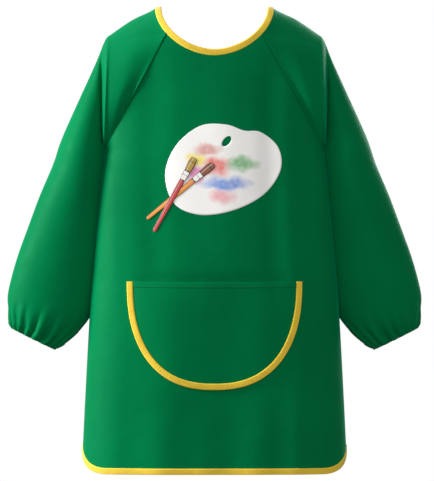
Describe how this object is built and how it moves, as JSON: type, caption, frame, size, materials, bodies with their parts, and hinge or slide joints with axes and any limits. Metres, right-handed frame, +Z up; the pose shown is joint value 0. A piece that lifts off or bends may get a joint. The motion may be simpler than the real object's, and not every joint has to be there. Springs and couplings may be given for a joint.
{
  "type": "artist smock apron",
  "caption": "Child's long-sleeved painting smock with raglan sleeves, elastic cuffs, bound edges, a rounded front pocket and an open back.",
  "frame": {"origin": "midway between the tops of the two shoulders, where the wearer carries the smock", "axes": "+X towards the wearer's left, -Y out of the front, +Z up"},
  "size_m": [0.5466, 0.1539, 0.6171],
  "materials": {
    "green_cloth": "smooth, tightly woven water-repellent polyester, satin",
    "yellow_binding": "woven bias tape, matt, topstitched",
    "print_film": null,
    "elastic": "ribbed woven elastic",
    "hook_and_loop": "hook and loop tape, matt"
  },
  "bodies": {
    "body": {"front_panel": "green_cloth", "left_back_panel": "green_cloth", "right_back_panel": "green_cloth", "left_sleeve_cap": "green_cloth", "right_sleeve_cap": "green_cloth", "neck_binding": "yellow_binding", "hem_binding": "yellow_binding", "pocket_panel": "green_cloth", "pocket_binding": "yellow_binding", "chest_print": "print_film"},
    "left_arm": {"left_sleeve": "green_cloth", "left_cuff_casing": "green_cloth", "left_cuff_elastic": "elastic"},
    "right_arm": {"right_sleeve": "green_cloth", "right_cuff_casing": "green_cloth", "right_cuff_elastic": "elastic"},
    "left_back": {"left_back_flap": "green_cloth", "left_neck_binding_back": "yellow_binding", "left_hem_binding_back": "yellow_binding", "left_neck_hook_tape": "hook_and_loop", "left_waist_hook_tape": "hook_and_loop"},
    "right_back": {"right_back_flap": "green_cloth", "right_neck_binding_back": "yellow_binding", "right_hem_binding_back": "yellow_binding", "right_neck_loop_tape": "hook_and_loop", "right_waist_loop_tape": "hook_and_loop"}
  },
  "joints": [
    {"name": "left_sleeve_raise", "type": "hinge", "parent": "body", "child": "left_arm", "pos_m": [0.142, 0, -0.115], "axis": [0, -1, 0], "range_deg": [0, 75]},
    {"name": "right_sleeve_raise", "type": "hinge", "parent": "body", "child": "right_arm", "pos_m": [-0.142, 0, -0.115], "axis": [0, 1, 0], "range_deg": [0, 75]},
    {"name": "left_back_open", "type": "hinge", "parent": "body", "child": "left_back", "pos_m": [0.06295, 0.0587, -0.035], "axis": [0.0975, 0.0199, -0.995], "range_deg": [0, 120]},
    {"name": "right_back_open", "type": "hinge", "parent": "body", "child": "right_back", "pos_m": [-0.06295, 0.0587, -0.035], "axis": [0.0975, -0.0199, 0.995], "range_deg": [0, 120]}
  ]
}
